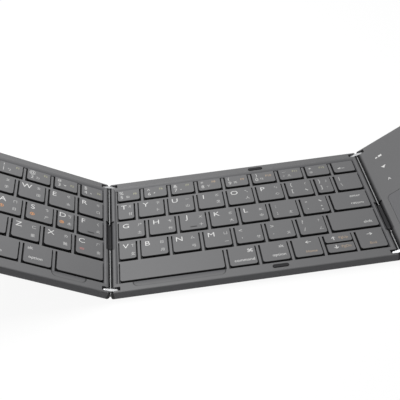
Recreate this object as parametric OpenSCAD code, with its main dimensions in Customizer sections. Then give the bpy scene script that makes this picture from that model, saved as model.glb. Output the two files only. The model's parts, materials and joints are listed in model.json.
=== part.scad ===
// Folding keyboard. A middle key panel carries a key wing at its left and a touchpad wing at its right.
// Each wing turns on a pair of parallel axes joined by link plates, so it lies flat or closes face to face.
// +X is toward the touchpad wing, +Y is away from the typist and +Z is up.

/* [Panels] */
// Depth of the panels from front to back
depth = 97; // [96:0.5:104]
// Thickness of a panel
panel_t = 6.3; // [6.2:0.1:8]
// Distance between the two hinge axes of the middle panel
middle_w = 159.8; // [156:0.2:172]
// Distance from the hinge axis to the outer end of the left wing
left_w = 93.8; // [92:0.2:104]
// Distance from the hinge axis to the outer end of the right wing
right_w = 65; // [64:0.5:72]
// Angle at which both wings stand
fold_angle = 31; // [0:1:60]
// Radius of the upper edges
edge_top_r = 0.8; // [0.3:0.1:1.2]
// Radius of the lower edges
edge_bottom_r = 2; // [0.5:0.1:2.6]
// Radius of the outer corners in plan
corner_r = 5; // [2:0.5:9]
// Thickness of the bottom covers
cover_t = 1.2; // [0.8:0.1:1.2]
// Margin between a bottom cover and the outer edges
cover_margin = 3; // [2.8:0.1:4]

/* [Hinges] */
// Distance between the two axes of one hinge
axis_gap = 6.9; // [6.9:0.1:9]
// End radius of a link plate
link_r = 2.3; // [1.9:0.1:2.3]
// Thickness of a link plate
link_t = 1.9; // [1.2:0.1:2.2]
// Thickness of the frame wall outside a link plate
link_wall = 1.5; // [1:0.1:1.8]
// Gap between a link plate and the outer frame wall
link_gap = 0.2; // [0.1:0.05:0.4]
// Width of the pocket round a link plate
pocket_w = 2.8; // [2.5:0.1:2.8]
// Clearance between the rim of a link plate and its pocket
link_clear = 0.3; // [0.3:0.05:0.4]
// Radius of a pivot pin
pin_r = 1.2; // [0.8:0.1:1.2]
// Length of a pivot pin inside its bore
pin_len = 2.6; // [1.5:0.1:2.6]
// Radial clearance of a pivot pin in its bore
pin_clear = 0.05; // [0.02:0.01:0.08]
// Radius of the round hinge edge where the cable crosses
cable_edge_r = 2.3; // [1.8:0.1:2.5]
// Length of a cable sleeve
sleeve_len = 22; // [16:1:26]
// Front end of the left cable notch
left_cable_y = 35; // [20:1:50]
// Front end of the right cable notch
right_cable_y = 20.5; // [12:0.5:50]
// Part of a cable notch that the sleeve leaves free
cable_free = 3.3; // [0.5:0.1:5]

/* [Keys] */
// Distance from one letter key to the next
key_pitch = 19; // [18.6:0.1:19.2]
// Distance from one row to the next
row_pitch = 17.6; // [17:0.1:17.8]
// Distance from one number key to the next
number_pitch = 17.74; // [17:0.02:17.9]
// Depth of a number key from front to back
number_key_d = 10.5; // [10:0.1:11]
// Width of the key at the right end of the number row
backspace_w = 13.88; // [13:0.1:15]
// Width of the key at the left end of the number row
escape_w = 17.73; // [17:0.1:18.5]
// Gap between the tops of two keys
key_gap = 2.9; // [2.4:0.1:3.4]
// Gap between a key and the edge of its window
key_clear = 0.7; // [0.4:0.05:0.8]
// Height of a key cap
key_t = 1.9; // [1.6:0.1:2]
// Thickness of the top of a key cap
key_top_t = 0.8; // [0.5:0.1:1]
// Side wall of a key cap
key_wall = 1; // [0.7:0.1:1.2]
// Chamfer round the top of a key cap
key_chamfer = 0.25; // [0.1:0.05:0.4]
// Radius of the front corners of a key cap
key_front_r = 2; // [1:0.1:2.4]
// Radius of the back corners of a key cap
key_back_r = 0.9; // [0.4:0.1:1.5]
// Travel of a key
travel = 1.2; // [0.8:0.1:1.3]
// Front border, from the front face to the first row
front_border = 8.1; // [7.9:0.1:9]
// Back border, from the last row to the back face
back_border = 8; // [7.9:0.1:9]
// Border from a hinge axis to the nearest key
side_border = 1.9; // [1.9:0.1:2.5]
// Border from the left hinge axis of the middle panel to its keys
start_border = 2.6; // [2.4:0.1:3]
// Border at the outer end of the left wing
outer_border = 3.75; // [3.7:0.05:5]
// Gap between the two half keys of the arrow group
half_gap = 0.9; // [0.6:0.1:1.4]
// First web line from the left axis, number row
number_edge = 18.39; // [17:0.1:20]
// First web line from the left axis, rows of T and V
narrow_edge = 14.24; // [13.5:0.1:15]
// First web line from the left axis, row of G
home_edge = 20.08; // [19:0.1:21]
// First web line from the left axis, space bar row
space_edge = 64.6; // [62:0.2:66]
// Pitch of the narrow bracket key
bracket_pitch = 12.76; // [12:0.1:14]
// First web line from the wing's axis, number row
left_number_edge = 17.65; // [17:0.1:18.5]
// First web line from the wing's axis, rows of R and F
left_letter_edge = 19.04; // [18.5:0.1:20]
// Pitch of the narrow D key
d_pitch = 13.06; // [12.5:0.1:14]
// First web line from the wing's axis, row of C
left_low_edge = 20.13; // [19.5:0.1:21]
// First web line from the wing's axis, space bar row
left_space_edge = 30.91; // [29:0.2:33]

/* [Key well] */
// Depth of the deck below the rim
deck_drop = 1.2; // [0.9:0.1:1.3]
// Thickness of the deck
deck_t = 1; // [0.8:0.1:1]
// Ledge under the rim of the deck
deck_ledge = 0.3; // [0.2:0.05:0.4]
// Clearance round the deck
deck_clear = 0.05; // [0.03:0.01:0.1]
// Height of the slope round the key well
slope_h = 0.8; // [0.5:0.1:0.9]
// Run of that slope at the sides
side_slope = 1.1; // [0.6:0.1:1.1]
// Run of that slope at the back
back_slope = 2.3; // [1:0.1:2.4]
// Run of that slope at the front
front_slope = 0.95; // [0.3:0.05:1]
// Free height between a pressed key and the switch sheet
press_clear = 0.2; // [0.1:0.05:0.3]
// Thickness of the switch sheet
sheet_t = 0.3; // [0.2:0.05:0.3]
// Thickness of the steel key plate
plate_t = 0.5; // [0.4:0.1:0.5]
// Foot radius of a switch dome
dome_r = 2.2; // [1.8:0.1:2.3]
// Top radius of a switch dome
dome_top_r = 1.3; // [1:0.1:1.5]
// Clearance round the sheet and the plate
sheet_clear = 0.1; // [0.05:0.05:0.3]
// Width of a rib of the bottom cover
rib_w = 1.4; // [1:0.1:2]
// Depth of a thumb relief at the key well
relief_h = 0.6; // [0.3:0.1:1.1]
// Front limit of a thumb relief
relief_y = 3.1; // [2:0.1:4]
// Corner radius of a thumb relief
relief_r = 3.2; // [1:0.1:3.4]
// Left end of the thumb relief of the middle panel
relief_x = 10; // [6:0.5:16]
// Length of the thumb relief of the middle panel
relief_len = 53; // [40:1:54]
// Distance of the thumb relief of the left wing from the hinge axis
left_relief_x = 12; // [6:0.5:20]
// Length of the thumb relief of the left wing
left_relief_len = 20; // [15:1:30]

/* [Touchpad wing] */
// Distance from the hinge axis to the touchpad
pad_x = 3.9; // [3.8:0.1:5]
// Front edge of the touchpad
pad_y = 5; // [4:0.1:7]
// Width of the touchpad
pad_w = 56; // [50:0.5:57]
// Depth of the touchpad
pad_d = 41; // [38:0.5:44]
// Corner radius of the touchpad
pad_r = 2.5; // [1.5:0.1:4]
// Thickness of the touchpad
pad_t = 1; // [0.8:0.1:1]
// Depth of the touchpad below the rim
pad_drop = 0.1; // [0.05:0.05:0.2]
// Gap round the touchpad
pad_gap = 0.15; // [0.1:0.05:0.3]
// Ledge under the touchpad
pad_ledge = 2.5; // [2:0.1:4]
// Thickness of the touchpad board
pad_board_t = 0.6; // [0.4:0.1:0.7]
// Thickness of the top wall of the touchpad wing
top_wall = 2.1; // [2:0.1:2.2]
// Distance of the indicator lenses from the hinge axis
lens_x = 10; // [9:0.5:14]
// Distance of the first indicator lens from the back face
lens_back = 15.3; // [13:0.1:17]
// Distance from one indicator lens to the next
lens_pitch = 11.5; // [10:0.1:12]
// Width of the battery
battery_w = 50; // [40:1:50]
// Depth of the battery
battery_d = 34; // [28:1:36]
// Thickness of the battery
battery_t = 2.7; // [2.2:0.1:2.7]
// Thickness of the main board
board_t = 0.8; // [0.6:0.1:0.9]
// Depth of the main board from front to back
board_d = 38; // [30:1:40]
// Width of the charging socket
port_w = 7.5; // [7:0.1:8]
// Height of the charging socket
port_h = 2.6; // [2.4:0.1:2.6]
// Length of the charging socket
port_len = 5.6; // [5:0.1:6]
// Sheet thickness of the charging socket
port_wall = 0.3; // [0.2:0.05:0.4]
// Gap between the charging socket and its slot
port_clear = 0.1; // [0.05:0.05:0.2]
// Distance of the charging socket from the front face
port_y = 72; // [62:1:80]

/* [Feet and bumpers] */
// Height of a foot
foot_h = 0.7; // [0.4:0.1:1]
// Radius of a foot
foot_r = 4; // [2.5:0.1:5]
// Distance of the feet from the edges
foot_margin = 11; // [9:0.5:14]
// Length of a closing bumper
bumper_len = 9.4; // [7:0.2:12]
// Width of a closing bumper
bumper_w = 2.4; // [1.8:0.1:2.6]
// Height of a bumper above the rim
bumper_h = 0.35; // [0.2:0.05:0.4]
// Depth of a bumper's seat
bumper_seat = 0.4; // [0.2:0.1:0.6]
// Distance of the bumpers from the front and back faces
bumper_y = 3.75; // [3:0.05:4]

/* [Hidden] */
$fn = 48;
charcoal = "#7b7b7d";
key_grey = "#808082";
deck_grey = "#757577";
dark = "#2a2a2c";
silver = "#c9cacc";

mid_z = -panel_t / 2;
web = key_gap / 2;
slot_r = link_r + link_clear;
link_y = link_wall + link_gap;
pin_y = link_wall + pocket_w;
cover_z = cover_t - panel_t;
deck_z = -deck_drop - deck_t;
sheet_z = -key_t - travel - press_clear;
plate_z = sheet_z - sheet_t - plate_t;
dome_h = press_clear + key_t - key_top_t - 0.1;
well_y0 = front_border - key_clear;
well_y1 = depth - back_border + key_clear;
well_side = side_border - key_clear;
well_outer = outer_border - key_clear;
floor_in = 3;
floor_in_y = 1;
pad_z = -pad_drop - pad_t;
hinge_margin = slot_r + 1.4;
bumper_x = (middle_w + left_w - right_w) / 2 - 0.05;

// Where the half-open object stands: its box is centred on the origin
half_fold = fold_angle / 2;
left_reach = axis_gap * cos(half_fold) + left_w * cos(fold_angle);
right_reach = axis_gap * cos(half_fold) + right_w * cos(fold_angle);
left_axis_x = (left_reach - right_reach - middle_w) / 2;

// A change of a panel's size is shared out over all its keys
rows_share = (depth - front_border - back_border) / (4 * row_pitch + number_key_d);
middle_share = (middle_w - 2 * side_border)
    / (number_edge + 7 * number_pitch + web + backspace_w - side_border);
left_share = (left_w - side_border - outer_border)
    / (left_number_edge + 3 * number_pitch + web + escape_w - side_border);

// Key rows, counted from the back: front line, back line and the web lines of each row
pitch_y = row_pitch * rows_share;
half_y = front_border + (pitch_y - key_gap) / 2 + 0.35;
function row_front(r) = front_border + (5 - r) * pitch_y;
function row_back(r) = r == 1 ? depth - back_border : row_front(r) + pitch_y - key_gap;
function steps(first, pitch, n) = [for (k = [0:n - 1]) first + pitch * k];
middle_webs = [
    steps(number_edge, number_pitch, 8),
    concat(steps(narrow_edge, key_pitch, 7), [narrow_edge + 6 * key_pitch + bracket_pitch]),
    steps(home_edge, key_pitch, 7),
    steps(narrow_edge, key_pitch, 7),
    steps(space_edge, key_pitch, 5)
];
left_webs = [
    steps(left_number_edge, number_pitch, 4),
    steps(left_letter_edge, key_pitch, 4),
    concat([left_letter_edge], steps(left_letter_edge + d_pitch, key_pitch, 3)),
    steps(left_low_edge, key_pitch, 3),
    steps(left_space_edge, key_pitch, 3)
];
// Spans of the keys of a row, between the two ends of the key field
function shared(webs, share) = [for (w = webs) side_border + (w - side_border) * share];
function spans(webs, a, b) = [for (i = [0:len(webs)])
    [i == 0 ? a : webs[i - 1] + web, i == len(webs) ? b : webs[i] - web]];
function middle_spans(r) =
    spans(shared(middle_webs[r - 1], middle_share), start_border, middle_w - side_border);
function left_spans(r) =
    spans(shared(left_webs[r - 1], left_share), side_border, left_w - outer_border);

// Places: a panel lies with its hinge axis at x = 0, its front face at y = 0 and its rim at z = 0
module at_middle() {
    translate([left_axis_x, -depth / 2, foot_h + panel_t]) children();
}
module at_left_links() {
    translate([left_axis_x, -depth / 2, foot_h - mid_z]) rotate([0, half_fold, 0]) children();
}
module at_right_links() {
    translate([left_axis_x + middle_w, -depth / 2, foot_h - mid_z])
        rotate([0, -half_fold, 0]) children();
}
module at_left() {
    at_left_links() translate([-axis_gap, 0, 0]) rotate([0, half_fold, 0])
        translate([0, 0, -mid_z]) children();
}
module at_right() {
    at_right_links() translate([axis_gap, 0, 0]) rotate([0, -half_fold, 0])
        translate([0, 0, -mid_z]) children();
}

// An outline in X and Z, drawn out from front to back
module along_y(y0, y1) {
    translate([0, y1, 0]) rotate([90, 0, 0]) linear_extrude(y1 - y0) children();
}
// An outline in Y and Z, drawn out from left to right
module along_x(x0, x1) {
    translate([x0, 0, 0]) rotate([90, 0, 90]) linear_extrude(x1 - x0) children();
}
// A rectangle with one radius for its lower corners and one for its upper corners
module rounded(x0, x1, y0, y1, low_r, high_r) {
    polygon([[x0 + low_r, y0], [x1 - low_r, y0], [x1, y0 + low_r], [x1, y1 - high_r],
        [x1 - high_r, y1], [x0 + high_r, y1], [x0, y1 - high_r], [x0, y0 + low_r]]);
    for (x = [x0 + low_r, x1 - low_r]) translate([x, y0 + low_r]) circle(low_r);
    for (x = [x0 + high_r, x1 - high_r]) translate([x, y1 - high_r]) circle(high_r);
}
// A bar with round ends
module stadium(len, r) {
    square([len, 2 * r], center = true);
    for (x = [-len / 2, len / 2]) translate([x, 0]) circle(r);
}

// Cross-section of a panel from its hinge axis at x = 0 to its square outer end
module wing_section(w) {
    polygon([[0, -panel_t], [w - edge_bottom_r, -panel_t], [w, edge_bottom_r - panel_t],
        [w, -edge_top_r], [w - edge_top_r, 0], [0, 0]]);
    translate([0, mid_z]) circle(panel_t / 2);
    translate([w - edge_bottom_r, edge_bottom_r - panel_t]) circle(edge_bottom_r);
    translate([w - edge_top_r, -edge_top_r]) circle(edge_top_r);
}
module middle_section() {
    translate([0, -panel_t]) square([middle_w, panel_t]);
    for (x = [0, middle_w]) translate([x, mid_z]) circle(panel_t / 2);
}
// Front and back edges of every panel
module depth_section() {
    rounded(0, depth, -panel_t, 0, edge_bottom_r, edge_top_r);
}
module wing_plan(w) {
    polygon([[-panel_t, 0], [w - corner_r, 0], [w, corner_r], [w, depth - corner_r],
        [w - corner_r, depth], [-panel_t, depth]]);
    for (y = [corner_r, depth - corner_r]) translate([w - corner_r, y]) circle(corner_r);
}
module wing_body(w) {
    intersection() {
        along_y(0, depth) wing_section(w);
        along_x(-panel_t, w) depth_section();
        translate([0, 0, -panel_t]) linear_extrude(panel_t) wing_plan(w);
    }
}
module middle_body() {
    intersection() {
        along_y(0, depth) middle_section();
        along_x(-panel_t, middle_w + panel_t) depth_section();
    }
}

// Room for the links of a hinge at the panel's x = 0: the pockets of the plates, the pin bores and
// the notch where the cable crosses. The panel lies toward +X.
module pocket_outline() {
    circle(slot_r);
    translate([-panel_t, -panel_t]) square([panel_t, 2 * panel_t]);
    translate([-panel_t, 0]) square([panel_t + slot_r, panel_t]);
}
module cable_outline() {
    difference() {
        translate([-panel_t, -panel_t]) square([panel_t, 2 * panel_t]);
        circle(cable_edge_r);
    }
}
module hinge_room(cable_y) {
    translate([0, 0, mid_z]) {
        along_y(link_wall, pin_y) pocket_outline();
        along_y(depth - pin_y, depth - link_wall) pocket_outline();
        along_y(cable_y, cable_y + cable_free + sleeve_len) cable_outline();
        along_y(pin_y - 0.5, pin_y + pin_len + 0.15) circle(pin_r + pin_clear);
        along_y(depth - pin_y - pin_len - 0.15, depth - pin_y + 0.5) circle(pin_r + pin_clear);
    }
}

// The key well between two walls: sloped rim, seat of the deck, room for pressed keys and the
// bay of the switch sheet
module key_well(x0, x1) {
    e = (slope_h + 1) / slope_h;
    intersection() {
        along_y(0, depth) polygon([[x0, -slope_h], [x1, -slope_h],
            [x1 + side_slope * e, 1], [x0 - side_slope * e, 1]]);
        along_x(x0 - 9, x1 + 9) polygon([[well_y0, -slope_h], [well_y1, -slope_h],
            [well_y1 + back_slope * e, 1], [well_y0 - front_slope * e, 1]]);
    }
    translate([x0, well_y0, deck_z]) cube([x1 - x0, well_y1 - well_y0, -deck_z - slope_h + 0.1]);
    translate([x0 + deck_ledge, well_y0 + deck_ledge, sheet_z])
        cube([x1 - x0 - 2 * deck_ledge, well_y1 - well_y0 - 2 * deck_ledge, deck_z - sheet_z + 0.1]);
    translate([x0 + floor_in, well_y0 + floor_in_y, cover_z - 0.1])
        cube([x1 - x0 - 2 * floor_in, well_y1 - well_y0 - 2 * floor_in_y, sheet_z - cover_z + 0.2]);
}
// Recess of a bottom cover between two limits in x
module cover_recess(x0, x1) {
    translate([0, 0, -panel_t - 1]) linear_extrude(cover_t + 1)
        rounded(x0, x1, cover_margin, depth - cover_margin, 3, 3);
}
// Sloped thumb relief in the front border
module thumb_relief(x0, len) {
    deep = relief_h * (well_y0 + 1 - relief_y) / (well_y0 - relief_y);
    intersection() {
        along_x(x0, x0 + len) polygon([[relief_y, 0], [well_y0 + 1, -deep],
            [well_y0 + 1, 1], [relief_y, 1]]);
        translate([0, 0, -2]) linear_extrude(3)
            rounded(x0, x0 + len, relief_y, well_y0 + 2, relief_r, 0.5);
    }
}

// Bottom cover with ribs that carry the key plate between two well walls
module ribbed_cover(x0, x1, w0, w1) {
    gap = 0.1;
    translate([0, 0, -panel_t]) linear_extrude(cover_t)
        rounded(x0 + gap, x1 - gap, cover_margin + gap, depth - cover_margin - gap, 3, 3);
    len = w1 - w0 - 2 * floor_in - 2;
    for (r = [1:5])
        translate([w0 + floor_in + 1, (row_front(r) + row_back(r)) / 2 - rib_w / 2, cover_z])
            cube([len, rib_w, plate_z - cover_z]);
}
// One sheet under the keys
module under_sheet(x0, x1, z, t) {
    m = floor_in + sheet_clear;
    n = floor_in_y + sheet_clear;
    translate([x0 + m, well_y0 + n, z]) cube([x1 - x0 - 2 * m, well_y1 - well_y0 - 2 * n, t]);
}
module dome() {
    cylinder(h = dome_h, r1 = dome_r, r2 = dome_top_r);
}
// Dome in the middle of each span of a row
module dome_row(row_spans, r, sign) {
    for (s = row_spans)
        translate([sign * (s[0] + s[1]) / 2, (row_front(r) + row_back(r)) / 2, sheet_z]) dome();
}

// Deck plate with one window per key
module deck(x0, x1) {
    translate([x0 + deck_clear, well_y0 + deck_clear, deck_z])
        cube([x1 - x0 - 2 * deck_clear, well_y1 - well_y0 - 2 * deck_clear, deck_t]);
}
module windows(row_spans, r, sign) {
    c = key_clear;
    for (s = row_spans)
        translate([sign > 0 ? s[0] - c : -s[1] - c, row_front(r) - c, deck_z - 1])
            cube([s[1] - s[0] + 2 * c, row_back(r) - row_front(r) + 2 * c, deck_t + 2]);
}

// Key cap: rounded in plan, chamfered round its flat top and hollow below
module cap(x0, x1, y0, y1) {
    c = key_chamfer;
    difference() {
        intersection() {
            translate([0, 0, -key_t]) linear_extrude(key_t)
                rounded(x0, x1, y0, y1, key_front_r, key_back_r);
            along_y(y0, y1) polygon([[x0, -key_t], [x1, -key_t], [x1, -c], [x1 - c, 0],
                [x0 + c, 0], [x0, -c]]);
            along_x(x0, x1) polygon([[y0, -key_t], [y1, -key_t], [y1, -c], [y1 - c, 0],
                [y0 + c, 0], [y0, -c]]);
        }
        translate([x0 + key_wall, y0 + key_wall, -key_t - 1])
            cube([x1 - x0 - 2 * key_wall, y1 - y0 - 2 * key_wall, key_t - key_top_t + 1]);
    }
}
module middle_cap(r, i) {
    s = middle_spans(r)[i];
    cap(s[0], s[1], row_front(r), row_back(r));
}
module left_cap(r, i) {
    s = left_spans(r)[i];
    cap(-s[1], -s[0], row_front(r), row_back(r));
}
// Raised bar that a finger finds, on the front part of a cap
module homing_bar(x) {
    translate([x - 2, row_front(3) + 2.2, -0.2]) cube([4, 0.6, 0.4]);
}

// Middle panel
module middle_frame() {
    color(charcoal) at_middle() difference() {
        middle_body();
        key_well(well_side, middle_w - well_side);
        cover_recess(hinge_margin, middle_w - hinge_margin);
        hinge_room(left_cable_y);
        translate([middle_w, 0, 0]) mirror([1, 0, 0]) hinge_room(right_cable_y);
        thumb_relief(relief_x, relief_len);
        for (y = [bumper_y, depth - bumper_y])
            translate([bumper_x, y, -bumper_seat]) linear_extrude(bumper_seat + 1)
                stadium(bumper_len - bumper_w, bumper_w / 2);
    }
}
module middle_bottom_cover() {
    color(dark) at_middle()
        ribbed_cover(hinge_margin, middle_w - hinge_margin, well_side, middle_w - well_side);
}
module middle_key_grid() {
    color(deck_grey) at_middle() difference() {
        deck(well_side, middle_w - well_side);
        for (r = [1:5]) windows(middle_spans(r), r, 1);
    }
}
module middle_key_plate() {
    color(silver) at_middle() under_sheet(well_side, middle_w - well_side, plate_z, plate_t);
}
module middle_dome_sheet() {
    color("#d8d8d0") at_middle() {
        under_sheet(well_side, middle_w - well_side, sheet_z - sheet_t, sheet_t);
        for (r = [1:4]) dome_row(middle_spans(r), r, 1);
        for (i = [0, 1, 2, 3, 5]) dome_row([middle_spans(5)[i]], 5, 1);
        s = middle_spans(5)[4];
        for (y = [row_front(5) + half_y - half_gap / 2, row_back(5) + half_y + half_gap / 2])
            translate([(s[0] + s[1]) / 2, y / 2, sheet_z]) dome();
    }
}
module feet(x0, x1) {
    for (x = [x0 + foot_margin, x1 - foot_margin], y = [foot_margin, depth - foot_margin])
        translate([x, y, -panel_t - foot_h]) cylinder(h = foot_h, r = foot_r);
}
module middle_feet() {
    color(dark) at_middle() feet(0, middle_w);
}
module closing_bumpers() {
    color(dark) at_middle() for (y = [bumper_y, depth - bumper_y])
        translate([bumper_x, y, -bumper_seat]) linear_extrude(bumper_seat + bumper_h)
            stadium(bumper_len - bumper_w, bumper_w / 2);
}

// Left wing, drawn toward -X
module left_frame() {
    color(charcoal) at_left() difference() {
        mirror([1, 0, 0]) wing_body(left_w);
        key_well(well_outer - left_w, -well_side);
        cover_recess(cover_margin - left_w, -hinge_margin);
        mirror([1, 0, 0]) hinge_room(left_cable_y);
        thumb_relief(-left_relief_x - left_relief_len, left_relief_len);
    }
}
module left_bottom_cover() {
    color(dark) at_left()
        ribbed_cover(cover_margin - left_w, -hinge_margin, well_outer - left_w, -well_side);
}
module left_key_grid() {
    color(deck_grey) at_left() difference() {
        deck(well_outer - left_w, -well_side);
        for (r = [1:5]) windows(left_spans(r), r, -1);
    }
}
module left_key_plate() {
    color(silver) at_left() under_sheet(well_outer - left_w, -well_side, plate_z, plate_t);
}
module left_dome_sheet() {
    color("#d8d8d0") at_left() {
        under_sheet(well_outer - left_w, -well_side, sheet_z - sheet_t, sheet_t);
        for (r = [1:5]) dome_row(left_spans(r), r, -1);
    }
}
module left_feet() {
    color(dark) at_left() feet(-left_w, 0);
}

// Right wing, drawn toward +X
module pad_outline(grow, r) {
    rounded(pad_x - grow, pad_x + pad_w + grow, pad_y - grow, pad_y + pad_d + grow, r, r);
}
module lens_outline(grow) {
    translate([lens_x, depth - lens_back]) stadium(2.4 + grow, 0.55 + grow / 2);
    for (i = [1, 2]) translate([lens_x, depth - lens_back - i * lens_pitch]) circle(0.9 + grow);
}
bay_x = hinge_margin + 1;
bay_end = right_w - cover_margin - 1;
bay_y = cover_margin + 1.5;
board_y = depth - bay_y - 0.4 - board_d;
port_x = right_w - port_len - 0.2;
port_z = cover_z + board_t;
module right_frame() {
    color(charcoal) at_right() difference() {
        wing_body(right_w);
        hinge_room(right_cable_y);
        translate([0, 0, pad_z]) linear_extrude(2) pad_outline(pad_gap, pad_r + pad_gap);
        translate([0, 0, pad_z - 2]) linear_extrude(3) pad_outline(-pad_ledge, 1.5);
        translate([bay_x, bay_y, cover_z - 0.1])
            cube([bay_end - bay_x, depth - 2 * bay_y, panel_t - cover_t - top_wall + 0.1]);
        cover_recess(hinge_margin, right_w - cover_margin);
        translate([port_x - port_clear, port_y - port_w / 2 - port_clear, port_z])
            cube([port_len + 1, port_w + 2 * port_clear, port_h + port_clear]);
        translate([0, 0, -3]) linear_extrude(4) lens_outline(0.05);
    }
}
module right_bottom_cover() {
    gap = 0.1;
    color(dark) at_right() translate([0, 0, -panel_t]) linear_extrude(cover_t)
        rounded(hinge_margin + gap, right_w - cover_margin - gap, cover_margin + gap,
            depth - cover_margin - gap, 3, 3);
}
module touchpad() {
    color("#6f6f71") at_right() translate([0, 0, pad_z]) linear_extrude(pad_t) pad_outline(0, pad_r);
}
module touchpad_board() {
    color("#2f5a3a") at_right() translate([0, 0, pad_z - pad_board_t])
        linear_extrude(pad_board_t) pad_outline(-pad_ledge - 0.3, 1.2);
}
module main_board() {
    color("#2f5a3a") at_right() translate([bay_x + 0.4, board_y, cover_z])
        cube([bay_end - bay_x - 0.8, board_d, board_t]);
}
module battery() {
    x = (bay_x + bay_end - battery_w) / 2;
    color("#b9bcc0") at_right() translate([x, bay_y + 3, cover_z]) linear_extrude(battery_t)
        rounded(0, battery_w, 0, battery_d, 2, 2);
}
module charging_port() {
    color(silver) at_right() translate([port_x, port_y - port_w / 2, port_z]) {
        difference() {
            cube([port_len, port_w, port_h]);
            translate([1, port_wall, port_wall])
                cube([port_len, port_w - 2 * port_wall, port_h - 2 * port_wall]);
        }
        translate([0.5, port_w / 4, port_h / 2 - 0.3]) cube([port_len - 1.3, port_w / 2, 0.6]);
    }
}
module indicator_lenses() {
    color("white") at_right() translate([0, 0, -top_wall]) linear_extrude(top_wall) lens_outline(0);
}
module right_feet() {
    color(dark) at_right() feet(0, right_w);
}

// Hinge links: a plate at each end with two pins, drawn toward -X from the axis of the middle panel
module link_plate() {
    translate([-axis_gap / 2, 0, 0]) along_y(link_y, link_y + link_t) stadium(axis_gap, link_r);
    for (x = [0, -axis_gap]) translate([x, 0, 0])
        along_y(link_y + link_t - 0.1, pin_y + pin_len) circle(pin_r);
}
module link_pair() {
    link_plate();
    translate([0, depth, 0]) mirror([0, 1, 0]) link_plate();
}
module cable_sleeve(cable_y) {
    along_y(cable_y + cable_free, cable_y + cable_free + sleeve_len - 0.3) difference() {
        translate([-axis_gap / 2 - 1.9, -2.3]) square([3.8, 2]);
        for (x = [0, -axis_gap]) translate([x, 0]) circle(cable_edge_r + 0.3);
    }
}
module left_hinge_links() {
    color(silver) at_left_links() link_pair();
}
module left_cable_sleeve() {
    color(dark) at_left_links() cable_sleeve(left_cable_y);
}
module right_hinge_links() {
    color(silver) at_right_links() mirror([1, 0, 0]) link_pair();
}
module right_cable_sleeve() {
    color(dark) at_right_links() mirror([1, 0, 0]) cable_sleeve(right_cable_y);
}

// Keys of the left wing, counted outward from the hinge
module key_r() { color(key_grey) at_left() left_cap(2, 0); }
module key_e() { color(key_grey) at_left() left_cap(2, 1); }
module key_w() { color(key_grey) at_left() left_cap(2, 2); }
module key_q() { color(key_grey) at_left() left_cap(2, 3); }
module key_f() {
    s = left_spans(3)[0];
    color(key_grey) at_left() {
        left_cap(3, 0);
        homing_bar(-(s[0] + s[1]) / 2);
    }
}
module key_d() { color(key_grey) at_left() left_cap(3, 1); }
module key_s() { color(key_grey) at_left() left_cap(3, 2); }
module key_a() { color(key_grey) at_left() left_cap(3, 3); }
module key_c() { color(key_grey) at_left() left_cap(4, 0); }
module key_x() { color(key_grey) at_left() left_cap(4, 1); }
module key_z() { color(key_grey) at_left() left_cap(4, 2); }
module left_space() { color(key_grey) at_left() left_cap(5, 0); }
module left_number_keys() {
    color(key_grey) at_left() for (i = [0:4]) left_cap(1, i);
}
module left_modifier_keys() {
    color(key_grey) at_left() {
        left_cap(2, 4);
        left_cap(3, 4);
        left_cap(4, 3);
        for (i = [1:3]) left_cap(5, i);
    }
}

// Keys of the middle panel, counted from the left hinge
module key_t_letter() { color(key_grey) at_middle() middle_cap(2, 0); }
module key_y() { color(key_grey) at_middle() middle_cap(2, 1); }
module key_u() { color(key_grey) at_middle() middle_cap(2, 2); }
module key_i() { color(key_grey) at_middle() middle_cap(2, 3); }
module key_o() { color(key_grey) at_middle() middle_cap(2, 4); }
module key_p() { color(key_grey) at_middle() middle_cap(2, 5); }
module key_g() { color(key_grey) at_middle() middle_cap(3, 0); }
module key_h() { color(key_grey) at_middle() middle_cap(3, 1); }
module key_j() {
    s = middle_spans(3)[2];
    color(key_grey) at_middle() {
        middle_cap(3, 2);
        homing_bar((s[0] + s[1]) / 2);
    }
}
module key_k() { color(key_grey) at_middle() middle_cap(3, 3); }
module key_l() { color(key_grey) at_middle() middle_cap(3, 4); }
module key_v() { color(key_grey) at_middle() middle_cap(4, 0); }
module key_b() { color(key_grey) at_middle() middle_cap(4, 1); }
module key_n() { color(key_grey) at_middle() middle_cap(4, 2); }
module key_m() { color(key_grey) at_middle() middle_cap(4, 3); }
module middle_space() { color(key_grey) at_middle() middle_cap(5, 0); }
module enter_key() { color(key_grey) at_middle() middle_cap(3, 7); }
module middle_number_keys() {
    color(key_grey) at_middle() for (i = [0:8]) middle_cap(1, i);
}
module middle_symbol_keys() {
    color(key_grey) at_middle() {
        for (i = [6:8]) middle_cap(2, i);
        for (i = [5, 6]) middle_cap(3, i);
        for (i = [4:6]) middle_cap(4, i);
    }
}
module middle_modifier_keys() {
    s = middle_spans(5)[4];
    color(key_grey) at_middle() {
        middle_cap(4, 7);
        for (i = [1, 2, 3, 5]) middle_cap(5, i);
        cap(s[0], s[1], row_front(5), half_y - half_gap / 2);
        cap(s[0], s[1], half_y + half_gap / 2, row_back(5));
    }
}

middle_frame();
middle_bottom_cover();
middle_key_grid();
middle_key_plate();
middle_dome_sheet();
middle_feet();
closing_bumpers();
left_frame();
left_bottom_cover();
left_key_grid();
left_key_plate();
left_dome_sheet();
left_feet();
right_frame();
right_bottom_cover();
touchpad();
touchpad_board();
main_board();
battery();
charging_port();
indicator_lenses();
right_feet();
left_hinge_links();
left_cable_sleeve();
right_hinge_links();
right_cable_sleeve();
key_q();
key_w();
key_e();
key_r();
key_t_letter();
key_y();
key_u();
key_i();
key_o();
key_p();
key_a();
key_s();
key_d();
key_f();
key_g();
key_h();
key_j();
key_k();
key_l();
key_z();
key_x();
key_c();
key_v();
key_b();
key_n();
key_m();
left_space();
middle_space();
enter_key();
left_number_keys();
left_modifier_keys();
middle_number_keys();
middle_symbol_keys();
middle_modifier_keys();
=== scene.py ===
"""Folding keyboard: finishes, key legends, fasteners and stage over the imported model.

Run it as a script. Every step is an operator in the sidebar of the 3D view.
"""

import json
import math

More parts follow.
